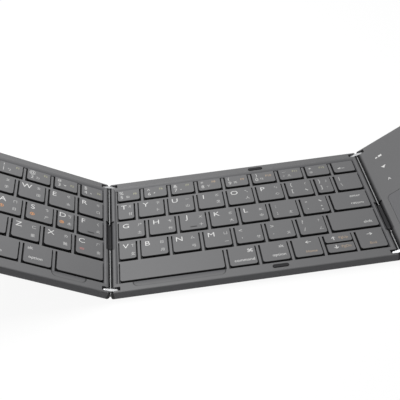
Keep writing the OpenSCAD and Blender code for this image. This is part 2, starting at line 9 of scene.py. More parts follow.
import bmesh
import bpy
from bpy.props import FloatProperty, FloatVectorProperty, PointerProperty
from mathutils import Matrix, Vector

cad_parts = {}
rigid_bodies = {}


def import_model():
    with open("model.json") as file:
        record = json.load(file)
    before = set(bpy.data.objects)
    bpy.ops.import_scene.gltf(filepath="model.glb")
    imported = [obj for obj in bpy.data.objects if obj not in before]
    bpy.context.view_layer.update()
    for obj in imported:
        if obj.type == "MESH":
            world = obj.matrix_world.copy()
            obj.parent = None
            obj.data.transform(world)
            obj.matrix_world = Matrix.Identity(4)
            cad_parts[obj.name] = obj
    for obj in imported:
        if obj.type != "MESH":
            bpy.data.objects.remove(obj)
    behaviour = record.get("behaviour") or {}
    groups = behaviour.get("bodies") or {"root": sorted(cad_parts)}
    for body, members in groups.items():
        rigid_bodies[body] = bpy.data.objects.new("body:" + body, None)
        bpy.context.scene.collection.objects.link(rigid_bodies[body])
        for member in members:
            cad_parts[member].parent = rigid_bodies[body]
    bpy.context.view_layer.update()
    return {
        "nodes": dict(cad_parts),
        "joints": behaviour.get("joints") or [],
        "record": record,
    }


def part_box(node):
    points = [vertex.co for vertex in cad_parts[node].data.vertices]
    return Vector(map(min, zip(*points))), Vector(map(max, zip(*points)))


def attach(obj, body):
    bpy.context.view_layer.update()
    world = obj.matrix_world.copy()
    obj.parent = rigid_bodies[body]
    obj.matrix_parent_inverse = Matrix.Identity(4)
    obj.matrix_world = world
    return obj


bl_info = {
    "name": "Folding keyboard",
    "version": (1, 0, 0),
    "blender": (4, 5, 0),
    "location": "3D View > Sidebar > Keyboard",
    "description": "Finishes, key legends, fasteners and stage of a folding keyboard",
    "category": "Object",
}

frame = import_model()
MM = 0.001

# Hinges: the axis in the middle panel and the axis in the wing, each as a point of it in metres
FOLDS = {
    joint["name"]: Vector(joint["pos_m"]) for joint in frame["joints"] if "fold" in joint["name"]
}
HINGES = {
    side: (FOLDS[f"{side}_link_fold"], FOLDS[f"{side}_wing_fold"]) for side in ("left", "right")
}
LEFT_AXIS, LEFT_WING_AXIS = HINGES["left"]
RIGHT_AXIS, RIGHT_WING_AXIS = HINGES["right"]
LINK_TILT = math.atan2(LEFT_WING_AXIS.z - LEFT_AXIS.z, LEFT_AXIS.x - LEFT_WING_AXIS.x)
HALF_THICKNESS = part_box("middle_frame")[1].z - LEFT_AXIS.z
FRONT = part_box("middle_frame")[0].y
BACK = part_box("middle_frame")[1].y


def panel_frame(axis, tilt):
    """Matrix from a panel's own place (x from its axis, y from the front, z from the rim)."""
    return (
        Matrix.Translation((axis.x, FRONT, axis.z))
        @ Matrix.Rotation(tilt, 4, "Y")
        @ Matrix.Translation((0, 0, HALF_THICKNESS))
    )


PANELS = {
    "middle": panel_frame(LEFT_AXIS, 0),
    "left": panel_frame(LEFT_WING_AXIS, 2 * LINK_TILT),
    "right": panel_frame(RIGHT_WING_AXIS, -2 * LINK_TILT),
}
# Size of the middle panel, in mm
DEPTH = (BACK - FRONT) / MM
MIDDLE_WIDTH = (RIGHT_AXIS.x - LEFT_AXIS.x) / MM

# From here to the screws all lengths are in mm, and places are those of a panel
# Thumb reliefs of the construction: both ends, front, back and corner radius
RELIEFS = {"middle": (10, 63), "left": (-32, -12)}
RELIEF_FRONT, RELIEF_BACK, RELIEF_RADIUS = 3.1, 8, 3.2
# Front and back face of a front link plate, and width of a closing bumper, of the construction
LINK_PLATE = (1.7, 3.6)
BUMPER_WIDTH = 2.4

# Round hinge edges of a panel, as side and x of their axis
HINGE_EDGES = {"left": [(1, 0)], "middle": [(-1, 0), (1, MIDDLE_WIDTH)], "right": [(-1, 0)]}
# Between which distances beyond that axis the paint darkens into painted shade
EDGE_SHADE_FADES = {"left": (1.1, 1.6), "middle": (1.1, 1.6), "right": (-0.6, 1.7)}
# Between which depths below the rim a colour changes to the painted shade of the sides
FRAME_SHADE_DEPTHS = (0, 0.75)
CAP_SHADE_DEPTHS = (0.04, 0.1)
DECK_SHADE_DEPTHS = (1.24, 1.3)
# Between which heights above the rim a raised bar darkens with painted shade, and by how much
BAR_HEIGHTS = (0.02, 0.1)
BAR_SHADE_SHARE = 0.6
# Between which distances the painted shade line of a thumb relief fades, its strength, and what its
# corners add
LINE_FADE = (0.15, 0.5)
LINE_STRENGTH, CORNER_STRENGTH = 0.25, 0.6
# Between which distances inside the outline of a bumper its dark rim fades
RIM_FADE = (0.1, 0.6)

# Strip in a seam, a grey sheet standing in for the shaded floor seen through the gap: its faces, measured
# from the middle of the gap towards the wing, the share of its thickness that is bevelled, its painted
# shade tone, and the length of painted shade in front of the cable sleeve
STRIP_FACES = {"left": (-0.2, 0.2), "right": (-0.26, 0.14)}
STRIP_BEVEL = 0.2
STRIP_SHADE_TONES = {"left": 0.85, "right": 0.8}
STRIP_SHADES = {"left": 2.5, "right": 5.5}

# Screws: x of their columns in each panel
SCREW_COLUMNS = {
    "left": (-72, -22),
    "middle": (22, MIDDLE_WIDTH / 2, MIDDLE_WIDTH - 22),
    "right": (22, 44),
}

# Tones of the pieces that share a colour
BUMPER_TONE, SLEEVE_TONE, SCREW_TONE = 1.5, 2.4, 0.5

# Stage: x and y of the lamp in metres, grey of the floor, and share of glow where it is seen
LAMP_PLACE = (-0.16, 0.12)
FLOOR_GREY, FLOOR_GLOW = 0.8, 0.92
# Camera: place in metres, angles in degrees (down, to the right and rolled), lens and sensor in mm
CAMERA_PLACE = (-0.02433, -0.32506, 0.30425)
CAMERA_ANGLES = (40.643, 1.945, 6.332)
CAMERA_LENS, CAMERA_SENSOR = 64.66, 36


def paint(code):
    """Linear colour of a hex code."""
    parts = [int(code[i : i + 2], 16) / 255 for i in (1, 3, 5)]
    return tuple(p / 12.92 if p <= 0.04045 else ((p + 0.055) / 1.055) ** 2.4 for p in parts)


def colour_property(name, description, code):
    """Property that holds a colour, given by its hex code."""
    return FloatVectorProperty(
        name=name,
        description=description,
        subtype="COLOR",
        size=3,
        min=0,
        max=1,
        default=paint(code),
    )


def length_property(name, description, millimetres):
    """Property that holds a length in metres, given in millimetres."""
    return FloatProperty(
        name=name,
        description=description,
        unit="LENGTH",
        min=0,
        precision=5,
        default=millimetres * MM,
    )


class KeyboardColours(bpy.types.PropertyGroup):
    """Colours of the keyboard."""

    shell: colour_property("Shell", "Painted frames of the left and middle panels", "#575758")
    # Touchpad wing: the shell paint made a little darker, a painted shade for how light falls on the
    # right panel
    wing: colour_property("Touchpad wing", "Painted frame of the right panel", "#555556")
    # Flanks: painted shade on the side faces and hinge edges of the frames
    flanks: colour_property("Flanks", "Side faces and hinge edges of the frames", "#454547")
    keys: colour_property("Keys", "Tops of the key caps", "#59595a")
    webs: colour_property("Webs", "Deck between the keys", "#5d5d5e")
    # Gaps: painted shadow on the sides of the caps and the edges of the deck windows
    gap_shadow: colour_property("Gaps", "Sides of the caps and edges of the windows", "#1b1b1c")
    covers: colour_property("Covers", "Bottom covers", "#2c2c2e")
    rubber: colour_property("Rubber", "Feet, bumpers and cable sleeves", "#171718")
    metal: colour_property("Metal", "Link plates and key plates", "#b8b9ba")
    # Seam strip: grey sheet standing in for the shaded floor seen through the seam gap
    strip: colour_property("Seam strip", "Strips in the hinge seams", "#999a9b")
    touchpad: colour_property("Touchpad", "Surface of the touchpad", "#535355")
    board: colour_property("Boards", "Circuit boards", "#1f5a34")
    silicone: colour_property("Domes", "Switch sheet and its domes", "#1b1b1c")
    foil: colour_property("Cell foil", "Wrap of the battery", "#a9adb0")
    white: colour_property("White print", "Letters, words and arrows", "#b8b8b7")
    soft: colour_property("Soft print", "Numbers and their signs", "#a3a3a2")
    pale: colour_property("Pale print", "Small signs beside the letters", "#a3a3a2")
    orange: colour_property("Orange print", "Signs of the second level on three letters", "#b67b45")
    olive: colour_property("Olive print", "Function numbers", "#878671")
    brown: colour_property("Brown print", "Second level of arrows and some numbers", "#8b7a68")
    red: colour_property("Red print", "One sign of the left wing", "#966360")


class KeyboardSizes(bpy.types.PropertyGroup):
    """Sizes of the pieces that the construction doesn't have."""

    letter: length_property("Letter height", "Height of the capital letters", 3.7)
    digit: length_property("Digit height", "Height of the numbers and their signs", 2.9)
    sign: length_property("Sign height", "Height of the small signs", 2.05)
    word: length_property("Word height", "Height of the words", 2.15)
    print_thickness: length_property("Print thickness", "Thickness of the printed legends", 0.02)
    stroke: length_property("Stroke gain", "How much bolder than the plain face a letter is", 0.12)
    strip_height: length_property("Strip height", "Height of the strip in a hinge seam", 2.4)
    strip_clear: length_property("Strip clearance", "From the strip to plates and sleeve", 0.2)
    screw_head: length_property("Screw head", "Diameter of a screw head in a bottom cover", 2.8)
    screw_height: length_property("Screw height", "Height of a screw head above its cover", 0.35)
    screw_edge: length_property("Screw edge", "From the screws to the front and back faces", 6.6)


class KeyboardStage(bpy.types.PropertyGroup):
    """Floor and light."""

    floor: length_property("Floor", "Side of the floor", 4000)
    lamp_size: length_property("Lamp size", "Side of the square lamp", 350)
    lamp_height: length_property("Lamp height", "Height of the lamp above the floor", 450)
    lamp_power: FloatProperty(
        name="Lamp power", description="Power of the lamp", unit="POWER", default=3.7
    )
    fill: FloatProperty(
        name="Fill", description="Light from all round", min=0, max=1, default=0.45
    )


class Value:
    """A number socket that can be used in an expression."""

    def __init__(self, finish, socket):
        self.finish, self.socket = finish, socket

    def _math(self, operation, *sides):
        node = self.finish.node("ShaderNodeMath", {"operation": operation}, dict(enumerate(sides)))
        return Value(self.finish, node.outputs[0])

    def __add__(self, other):
        return self._math("ADD", self, other)

    def __sub__(self, other):
        return self._math("SUBTRACT", self, other)

    def __rsub__(self, other):
        return self._math("SUBTRACT", other, self)

    def __mul__(self, other):
        return self._math("MULTIPLY", self, other)

    def __gt__(self, other):
        return self._math("GREATER_THAN", self, other)

    def __abs__(self):
        return self._math("ABSOLUTE", self)

    def __pow__(self, other):
        return self._math("POWER", self, other)

    def at_least(self, other):
        """The larger of the two."""
        return self._math("MAXIMUM", self, other)

    __radd__, __rmul__ = __add__, __mul__


class Nodes:
    """A node tree that is built node by node."""

    def __init__(self, tree):
        self.tree = tree
        tree.nodes.clear()

    def node(self, kind, settings, sockets):
        """Adds a node: its settings first, then the values or links of its sockets."""
        node = self.tree.nodes.new(kind)
        for key, value in settings.items():
            setattr(node, key, value)
        for key, value in sockets.items():
            self.put(node.inputs[key], value)
        return node

    def put(self, socket, value):
        """Sets a socket to a number, a colour, or what comes from another socket."""
        value = getattr(value, "socket", value)
        if isinstance(value, bpy.types.NodeSocket):
            self.tree.links.new(value, socket)
        elif socket.type == "RGBA":
            socket.default_value = (*value[:3], 1)
        else:
            socket.default_value = value

    def rays(self, *kinds):
        """1 for the rays of these kinds, 0 for others."""
        path = self.node("ShaderNodeLightPath", {}, {})
        return sum(Value(self, path.outputs[f"Is {kind} Ray"]) for kind in kinds)


class Finish(Nodes):
    """A material with one Principled shader."""

    def __init__(self, name, roughness=0.5, metallic=0.0, **constants):
        self.material = bpy.data.materials.new(name)
        self.material.use_nodes = True
        super().__init__(self.material.node_tree)
        sockets = {"Roughness": roughness, "Metallic": metallic}
        sockets.update({key.replace("_", " "): value for key, value in constants.items()})
        self.shader = self.node("ShaderNodeBsdfPrincipled", {}, sockets)
        self.output = self.node("ShaderNodeOutputMaterial", {}, {"Surface": self.shader.outputs[0]})
        self.place = self.node("ShaderNodeTexCoord", {}, {}).outputs["Object"]

    def noise(self, size, detail=2.0, stretch=(1, 1, 1)):
        """Noise from 0 to 1 whose features are about size metres across."""
        sockets = {"Vector": self.place, "Scale": stretch}
        place = self.node("ShaderNodeMapping", {}, sockets).outputs[0]
        sockets = {"Vector": place, "Scale": 1 / size, "Detail": detail}
        node = self.node("ShaderNodeTexNoise", {}, sockets)
        return Value(self, node.outputs[0])

    def along(self, direction, origin):
        """Distance of a point from origin along direction, in metres."""
        length = sum(a * b for a, b in zip(direction, origin))
        sockets = {0: self.place, 1: tuple(direction)}
        dot = self.node("ShaderNodeVectorMath", {"operation": "DOT_PRODUCT"}, sockets)
        return Value(self, dot.outputs["Value"]) - length

    def mix(self, factor, first, second):
        """The first colour where factor is 0, the second where it is 1."""
        sockets = {0: factor, 6: first, 7: second}
        return self.node("ShaderNodeMix", {"data_type": "RGBA"}, sockets).outputs[2]

    def between(self, value, low, high):
        """Rises from 0 to 1 while value goes from low to high."""
        node = self.node(
            "ShaderNodeMapRange",
            {"interpolation_type": "SMOOTHSTEP"},
            {"Value": value, "From Min": low, "From Max": high},
        )
        return Value(self, node.outputs[0])

    def colour(self, value):
        """Base colour, or a link that gives it."""
        self.put(self.shader.inputs["Base Color"], value)

    def rough(self, value):
        """Roughness, or a value that gives it."""
        self.put(self.shader.inputs["Roughness"], value)

    def bump(self, height, distance):
        """Relief of a height that goes from 0 to 1, distance metres deep."""
        sockets = {"Height": height, "Distance": distance, "Strength": 1}
        node = self.node("ShaderNodeBump", {}, sockets)
        self.put(self.shader.inputs["Normal"], node.outputs[0])


def shade(colour, factor):
    """The colour, darker or lighter by factor."""
    return tuple(min(1.0, c * factor) for c in colour[:3])


# Finishes


def plastic(name, roughness=0.5, grain=0.00018, relief=0.000012):
    """Matt moulded or painted plastic with a fine grain, its colour still open."""
    finish = Finish(name, IOR=1.45, Specular_IOR_Level=0.25)
    finish.rough(roughness - 0.05 + 0.1 * finish.noise(0.012))
    finish.bump(finish.noise(grain), relief)
    return finish


def clouded(finish, colour, cloud=0.04):
    """The colour with a faint cloud of tone."""
    cloud_tones = shade(colour, 1 - cloud), shade(colour, 1 + cloud)
    return finish.mix(finish.noise(0.025, detail=3), *cloud_tones)


def moulded(name, colour, roughness, grain, relief, cloud):
    """Moulded plastic of one clouded colour."""
    finish = plastic(name, roughness, grain, relief)
    finish.colour(clouded(finish, colour, cloud))
    return finish


def panel_place(finish, panel, axis):
    """Distance in metres along one axis of a panel: 0 across, 1 to the back, 2 above the rim."""
    matrix = PANELS[panel]
    return finish.along(matrix.to_3x3().col[axis], matrix.translation)


def shaded_below_rim(finish, panel, colour, shaded_flank, depths):
    """A colour that changes to painted shade between two depths below the rim of a panel."""
    shallow, deep = (depth * MM for depth in depths)
    top = finish.between(panel_place(finish, panel, 2), -deep, -shallow)
    return finish.mix(top, shaded_flank, clouded(finish, colour))


def capped(name, panel, colour, shaded_flank, depths):
    """Plastic of key caps or decks, with painted shade on their sides and on the bar that stands above
    the rim on a home key.
    """
    finish = plastic(name)
    low, high = (height * MM for height in BAR_HEIGHTS)
    raised = BAR_SHADE_SHARE * finish.between(panel_place(finish, panel, 2), low, high)
    finish.colour(finish.mix(raised, shaded_below_rim(finish, panel, colour, shaded_flank, depths), shaded_flank))
    return finish


def relief_shade_line(finish, panel):
    """Line of painted shade where the thumb relief of a panel begins, stronger round its corners."""
    start, end = (place * MM for place in RELIEFS[panel])
    near, far = (distance * MM for distance in LINE_FADE)
    radius = RELIEF_RADIUS * MM
    back = panel_place(finish, panel, 1)
    across = abs(panel_place(finish, panel, 0) - (start + end) / 2) - ((end - start) / 2 - radius)
    across = across.at_least(0)
    ahead = (RELIEF_FRONT * MM + radius - back).at_least(0)
    off = abs((across * across + ahead * ahead) ** 0.5 - radius)
    strength = LINE_STRENGTH + CORNER_STRENGTH * finish.between(across, 0, radius)
    return (1 - finish.between(off, near, far)) * strength * (RELIEF_BACK * MM - back > 0)


def painted_frame(name, panel, colour, shaded_flank, dark):
    """Paint of a frame, with painted shade on its sides, hinge edges and relief line."""
    finish = plastic(name)
    colour = shaded_below_rim(finish, panel, colour, shaded_flank, FRAME_SHADE_DEPTHS)
    low, high = (distance * MM for distance in EDGE_SHADE_FADES[panel])
    for side, axis in HINGE_EDGES[panel]:
        beyond = side * (panel_place(finish, panel, 0) - axis * MM)
        colour = finish.mix(finish.between(beyond, low, high), colour, dark)
    if panel in RELIEFS:
        colour = finish.mix(relief_shade_line(finish, panel), colour, dark)
    finish.colour(colour)
    return finish


def rubber(name, colour, rim=None):
    """Matt rubber, darker where the function rim gives 1."""
    finish = Finish(name, IOR=1.4, Specular_IOR_Level=0.25)
    tone = finish.mix(finish.noise(0.002, detail=3), shade(colour, 0.8), shade(colour, 1.3))
    if rim is not None:
        tone = finish.mix(rim(finish), tone, shade(colour, 0.3))
    finish.colour(tone)
    finish.rough(0.72 + 0.12 * finish.noise(0.001))
    finish.bump(finish.noise(0.00025, detail=3), distance=0.00003)
    return finish


def bumper_rim(finish):
    """1 along the outline of the two closing bumpers, 0 in their middle."""
    low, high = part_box("closing_bumpers")
    radius = BUMPER_WIDTH * MM / 2
    middle = (low + high) / 2
    along = abs(finish.along((1, 0, 0), middle)) - ((high.x - low.x) / 2 - radius)
    along = along.at_least(0)
    aside = abs(abs(finish.along((0, 1, 0), middle)) - ((high.y - low.y) / 2 - radius))
    inside = radius - (along * along + aside * aside) ** 0.5
    near, far = (distance * MM for distance in RIM_FADE)
    return 1 - finish.between(inside, near, far)


def brushed(name, colour, roughness, stretch=(0.08, 1, 1)):
    """Brushed metal whose lines run along X, unless stretch says otherwise."""
    finish = Finish(name, metallic=1.0)
    lines = finish.noise(0.0003, detail=3, stretch=stretch)
    finish.colour(finish.mix(lines, shade(colour, 0.88), colour[:3]))
    finish.rough(roughness - 0.06 + 0.14 * lines)
    finish.bump(lines, distance=0.000006)
    return finish


def printed(name, colour, roughness=0.55):
    """Matt ink or clear plastic of one colour."""
    finish = Finish(name)
    finish.colour(finish.mix(finish.noise(0.0008), shade(colour, 0.93), colour[:3]))
    finish.rough(roughness - 0.04 + 0.08 * finish.noise(0.0005))
    return finish


def silicone(name, colour):
    """Soft moulded silicone."""
    finish = Finish(name, Subsurface_Weight=0.2, IOR=1.4)
    finish.colour(finish.mix(finish.noise(0.004), shade(colour, 0.9), colour[:3]))
    finish.rough(0.5 + 0.15 * finish.noise(0.002))
    return finish


def lacquered(name, colour):
    """Lacquer of a circuit board, lighter over its tracks."""
    finish = Finish(name, Coat_Weight=0.4, Coat_Roughness=0.2)
    tracks = finish.noise(0.0016, detail=1, stretch=(1, 0.2, 1)) > 0.55
    finish.colour(finish.mix(tracks, colour[:3], shade(colour, 1.5)))
    finish.rough(0.35 + 0.1 * finish.noise(0.002))
    return finish


def creased_foil(name, colour):
    """Metal foil with shallow creases."""
    finish = Finish(name, metallic=0.8)
    crease = finish.noise(0.003, detail=4)
    finish.colour(finish.mix(crease, shade(colour, 0.85), colour[:3]))
    finish.rough(0.25 + 0.2 * crease)
    finish.bump(crease, distance=0.00005)
    return finish


def dress(nodes, finish):
    """Gives CAD nodes a material."""
    for node in nodes:
        mesh = frame["nodes"][node].data
        mesh.materials.clear()
        mesh.materials.append(finish.material)


def body_of(node):
    """Name of the body that a node belongs to."""
    for body, members in frame["record"]["behaviour"]["bodies"].items():
        if node in members:
            return body
    raise RuntimeError(f"{node} is in no body")


def new_object(name, mesh, finishes):
    """Object with a mesh and its finishes, in the scene."""
    piece = bpy.data.objects.new(name, mesh)
    bpy.context.scene.collection.objects.link(piece)
    for finish in finishes:
        mesh.materials.append(finish.material)
    return piece


def mesh_of(layer, name):
    """Mesh of a bmesh layer, which is freed."""
    mesh = bpy.data.meshes.new(name)
    layer.to_mesh(mesh)
    layer.free()
    return mesh


def merged(meshes):
    """One bmesh layer with several meshes, which are removed."""
    layer = bmesh.new()
    for mesh in meshes:
        layer.from_mesh(mesh)
        bpy.data.meshes.remove(mesh)
    return layer


# Legends: text, x and y of its middle in panel millimetres, kind
# Kinds: L letter, D digit or its sign, S and s small sign, M small mark, W word, A, V and b arrow,
# T triangle, O orange sign, o brown word, G olive and B brown number, R red sign, I sign of a lamp,
# c sign above a word
LEFT_LETTERS = {
    "left_number_keys": [
        ("$", -13.5, 86.3, "D"), ("4", -13.5, 82.3, "D"), ("ˋ", -10, 82.2, "M"), ("F4", -4.6, 84, "G"),
        ("#", -31, 86.3, "D"), ("3", -31, 82.3, "D"), ("ˇ", -27.3, 82.6, "M"), ("F3", -22.6, 84, "G"),
        ("@", -48.5, 86.3, "D"), ("2", -48.5, 82.3, "D"), ("ㄉ", -45, 82.3, "S"), ("F2", -40, 86, "G"),
        ("!", -66.5, 86.3, "D"), ("1", -66.5, 82.3, "D"), ("ㄅ", -63, 82.6, "S"), ("F1", -58, 86, "G"),
        ("esc", -83.5, 85.6, "W"),
    ],
    "key_r": [("R", -14, 72, "L"), ("ㄐ", -5.2, 72.4, "S"), ("口", -5, 65.6, "S")],
    "key_e": [("E", -33.5, 72, "L"), ("ㄍ", -24.5, 72.6, "S"), ("水", -24.5, 65.4, "S")],
    "key_w": [("W", -51, 72, "L"), ("ㄊ", -43.6, 72.4, "S"), ("田", -43.5, 65.8, "S")],
    "key_q": [("Q", -70.4, 72, "L"), ("ㄆ", -62.9, 72.4, "S"), ("手", -63, 65.8, "S")],
    "key_f": [("F", -14.5, 54.5, "L"), ("ㄑ", -5.2, 54.3, "S"), ("火", -5, 47.9, "S")],
    "key_d": [
        ("D", -27.6, 54.6, "L"), ("ㄎ", -23.2, 54.4, "s"), ("木", -23.3, 47.9, "s"),
        ("③", -28, 48.2, "O"),
    ],
    "key_s": [
        ("S", -46, 54.5, "L"), ("ㄋ", -37.5, 54.4, "S"), ("尸", -37.5, 47.8, "S"), ("②", -46, 48.2, "O"),
    ],
    "key_a": [
        ("A", -64, 54.5, "L"), ("ㄇ", -56.6, 54.4, "S"), ("日", -56.7, 47.9, "S"),
        ("①", -64.3, 48.4, "O"),
    ],
    "key_c": [
        ("C", -15.2, 36.8, "L"), ("ㄏ", -5, 36.6, "S"), ("金", -4.8, 29.8, "S"), ("=", -15, 29.9, "R"),
    ],
    "key_x": [("X", -34, 36.9, "L"), ("ㄌ", -25, 36.6, "S"), ("難", -25.2, 30.2, "S")],
    "key_z": [("Z", -53, 36.8, "L"), ("ㄈ", -44, 36.9, "S"), ("重", -44.4, 30, "S")],
    "left_modifier_keys": [
        ("tab", -83.6, 65.4, "W"), ("caps", -80.6, 47.8, "W"), ("shift", -80, 30.2, "W"),
        ("alt", -45, 19.8, "W"), ("option", -41.6, 12.4, "W"), ("fn", -61.5, 12.4, "W"),
        ("ctrl", -80.5, 12.4, "W"),
    ],
}
MIDDLE_LETTERS = {
    "middle_number_keys": [
        ("%", 5.1, 86.2, "D"), ("5", 5.3, 82.1, "D"), ("ㄓ", 9.2, 82.2, "S"), ("F5", 14, 84.4, "G"),
        ("^", 22.9, 86.4, "D"), ("6", 23.2, 82.1, "D"), ("ˊ", 26.6, 82.6, "M"), ("F6", 31, 86.1, "G"),
        ("&", 40.5, 86.3, "D"), ("7", 40.7, 82.3, "D"), ("˙", 43.9, 82.5, "M"), ("F7", 48.4, 86.1, "G"),
        ("*", 58, 86.4, "D"), ("8", 58.2, 82.1, "D"), ("ㄚ", 62, 82.3, "S"), ("F8", 65.6, 86.1, "B"),
        ("(", 75.6, 86.2, "D"), ("9", 76, 82.1, "D"), ("ㄞ", 79.6, 82.3, "S"), ("F9", 84.4, 84.6, "B"),
        (")", 93.8, 86.2, "D"), ("0", 93.6, 82.1, "D"), ("ㄢ", 96.8, 82.2, "S"), ("F10", 101.6, 85, "B"),
        ("_", 112, 86, "D"), ("-", 111.4, 82.2, "D"), ("ㄦ", 114.9, 82.2, "S"), ("F11", 119, 86, "G"),
        ("+", 129.2, 86.2, "D"), ("=", 129.3, 82.2, "D"), ("F12", 137, 86, "G"),
        ("←", 149, 82.4, "b"),
    ],
    "key_t_letter": [("T", 6.4, 72, "L"), ("ㄔ", 10.2, 72.3, "s"), ("廿", 10.4, 65.3, "s")],
    "key_y": [("Y", 20.3, 72, "L"), ("ㄗ", 28, 72.3, "S"), ("卜", 28, 65.9, "S")],
    "key_u": [("U", 39, 72.1, "L"), ("ㄧ", 47, 72.2, "S"), ("山", 46.8, 66, "S")],
    "key_i": [("I", 57.4, 72, "L"), ("ㄛ", 66.1, 72.2, "S"), ("戈", 66.2, 66, "S")],
    "key_o": [("O", 77.2, 72, "L"), ("ㄟ", 85, 72.2, "S"), ("人", 85, 66, "S")],
    "key_p": [("P", 95.6, 72, "L"), ("ㄣ", 104, 72.2, "S"), ("心", 104, 66, "S")],
    "key_g": [("G", 7.2, 54.2, "L"), ("ㄕ", 15.6, 54.1, "S"), ("土", 15.5, 47.3, "S")],
    "key_h": [("H", 26, 54.3, "L"), ("ㄘ", 34.5, 53.9, "S"), ("竹", 34.5, 47.3, "S")],
    "key_j": [("J", 44.8, 54.3, "L"), ("ㄨ", 53.5, 54, "S"), ("十", 53.5, 47.2, "S")],
    "key_k": [("K", 63.8, 54.3, "L"), ("ㄜ", 72.2, 53.7, "S"), ("大", 72.2, 47.2, "S")],
    "key_l": [("L", 81.9, 53.9, "L"), ("ㄠ", 91.1, 53.7, "S"), ("中", 91, 48, "S")],
    "key_v": [("V", 6.6, 36.3, "L"), ("ㄒ", 10.8, 36.3, "s"), ("女", 10.8, 29.5, "s")],
    "key_b": [("B", 19.8, 36.4, "L"), ("ㄖ", 28.3, 36.2, "S"), ("月", 28.4, 29.6, "S")],
    "key_n": [("N", 38.9, 36.4, "L"), ("ㄙ", 47, 36.6, "S"), ("弓", 47.2, 29.4, "S")],
    "key_m": [("M", 58.2, 36.4, "L"), ("ㄩ", 66.8, 36.4, "S"), ("一", 66.8, 29.4, "S")],
    "middle_symbol_keys": [
        ("{", 114, 72.1, "D"), ("[", 114, 66, "D"), ("「", 123.2, 72, "S"), ("、", 122.8, 65.9, "M"),
        ("}", 132.3, 72.1, "D"), ("]", 132.4, 66, "D"), ("」", 136.3, 72, "s"), ("。", 136.2, 66, "S"),
        ("|", 145.2, 72, "D"), ("\\", 145.5, 66.2, "D"),
        (":", 100.6, 53.6, "D"), (";", 100.7, 47.2, "D"), ("ㄤ", 109, 47.5, "S"),
        ("\"", 119.8, 54.2, "D"), ("'", 119.8, 47.8, "D"), ("、", 128.5, 54, "M"), ("︰", 128.5, 47.5, "M"),
        ("<", 76, 36.7, "D"), (",", 76.2, 30, "D"), ("ㄝ", 86, 29.8, "S"),
        (">", 95.2, 36.7, "D"), (".", 95, 30, "D"), ("ㄡ", 104, 29.6, "S"),
        ("?", 113.8, 36.7, "D"), ("/", 114, 30.2, "D"), ("？", 123.4, 36.6, "S"), ("ㄥ", 123.8, 29.8, "S"),
    ],
    "enter_key": [("enter", 150.6, 54.2, "W"), ("return", 150.4, 47.5, "W")],
    "middle_modifier_keys": [
        ("shift", 152, 30.1, "W"),
        ("⌘", 79, 19.2, "c"), ("command", 74.9, 12.1, "W"),
        ("alt", 97.3, 19.3, "W"), ("option", 95.1, 12.2, "W"),
        ("←", 113.3, 19.4, "A"), ("Home", 114, 11.9, "o"),
        ("↑", 128.5, 19.6, "V"), ("PgUp", 134.3, 19.4, "o"),
        ("↓", 128.5, 12.3, "V"), ("PgDn", 134.3, 12, "o"),
        ("→", 149.8, 19.4, "A"), ("End", 150, 12, "o"),
    ],
}
RIGHT_SIGNS = {
    "indicator_lenses": [
        ("▪", 8.1, 81.4, "A"), ("■", 10.7, 81.6, "I"), ("▼", 9.9, 70.6, "T"), ("A", 9.8, 58.7, "W"),
    ],
}
LEGENDS = {"left": LEFT_LETTERS, "middle": MIDDLE_LETTERS, "right": RIGHT_SIGNS}
# Inks, and for each kind its size, a factor of it, the stretch across, the ink and the boldness
INKS = ("white", "soft", "pale", "orange", "olive", "brown", "red")
KINDS = {
    "L": ("letter", 1.0, 1.16, "white", -0.5), "D": ("digit", 1.0, 1.0, "soft", 0),
    "S": ("sign", 0.92, 1.0, "pale", 0), "s": ("sign", 1.0, 0.9, "pale", 0),
    "M": ("digit", 1.5, 1.0, "pale", 0.9), "W": ("word", 1.0, 0.98, "white", -0.2),
    "A": ("sign", 1.15, 1.35, "white", 0.4), "V": ("sign", 1.3, 1.0, "white", 1.3),
    "b": ("sign", 1.1, 1.9, "white", 0.2), "O": ("sign", 0.95, 1.1, "orange", 1.0),
    "o": ("word", 0.85, 1.0, "brown", 0.3), "G": ("word", 0.8, 1.0, "olive", 0.5),
    "B": ("word", 0.88, 1.0, "brown", 0.5), "R": ("digit", 1.0, 1.3, "red", 0.9),
    "T": ("sign", 0.9, 1.25, "white", 0.5),
    "I": ("word", 0.66, 1.6, "white", 0), "c": ("word", 1.2, 1.1, "white", 0),
}
# Height of the capitals in an em, height of the middle of a print in its own thicknesses, and the
# distance in metres up to which corners of outlines become one
CAPITAL = 0.69
PRINT_LIFT = 0.55
WELD = 1e-7


def glyphs(text, height, stretch, stroke, thickness):
    """Mesh of a text whose capitals have a height, centred on its own middle and lying flat."""
    curve = bpy.data.curves.new("glyph", "FONT")
    curve.body = text
    curve.resolution_u = 3
    curve.size = height / CAPITAL
    curve.offset = stroke / 2
    curve.extrude = thickness / 2
    holder = bpy.data.objects.new("glyph", curve)
    mesh = bpy.data.meshes.new_from_object(holder)
    bpy.data.objects.remove(holder)
    bpy.data.curves.remove(curve)
    corners = [v.co for v in mesh.vertices]
    low = Vector(map(min, zip(*corners)))
    high = Vector(map(max, zip(*corners)))
    mesh.transform(Matrix.Diagonal((stretch, 1, 1, 1)) @ Matrix.Translation(-(low + high) / 2))
    return mesh


def legend(panel, mark, sizes):
    """Mesh of one legend in its place on a panel."""
    text, x, y, kind = mark
    size, factor, stretch, ink, bold = KINDS[kind]
    height = getattr(sizes, size) * factor
    mesh = glyphs(text, height, stretch, sizes.stroke * bold, sizes.print_thickness)
    place = Matrix.Translation((x * MM, y * MM, sizes.print_thickness * PRINT_LIFT))
    mesh.transform(PANELS[panel] @ place)
    for face in mesh.polygons:
        face.material_index = INKS.index(ink)
    return mesh


def print_letters(node, panel, marks, inks, sizes):
    """One piece with all the legends of a key or a group of keys."""
    layer = merged(legend(panel, mark, sizes) for mark in marks)
    bmesh.ops.remove_doubles(layer, verts=layer.verts, dist=WELD)
    piece = new_object("letters_" + node, mesh_of(layer, "letters_" + node), inks)
    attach(piece, body_of(node))


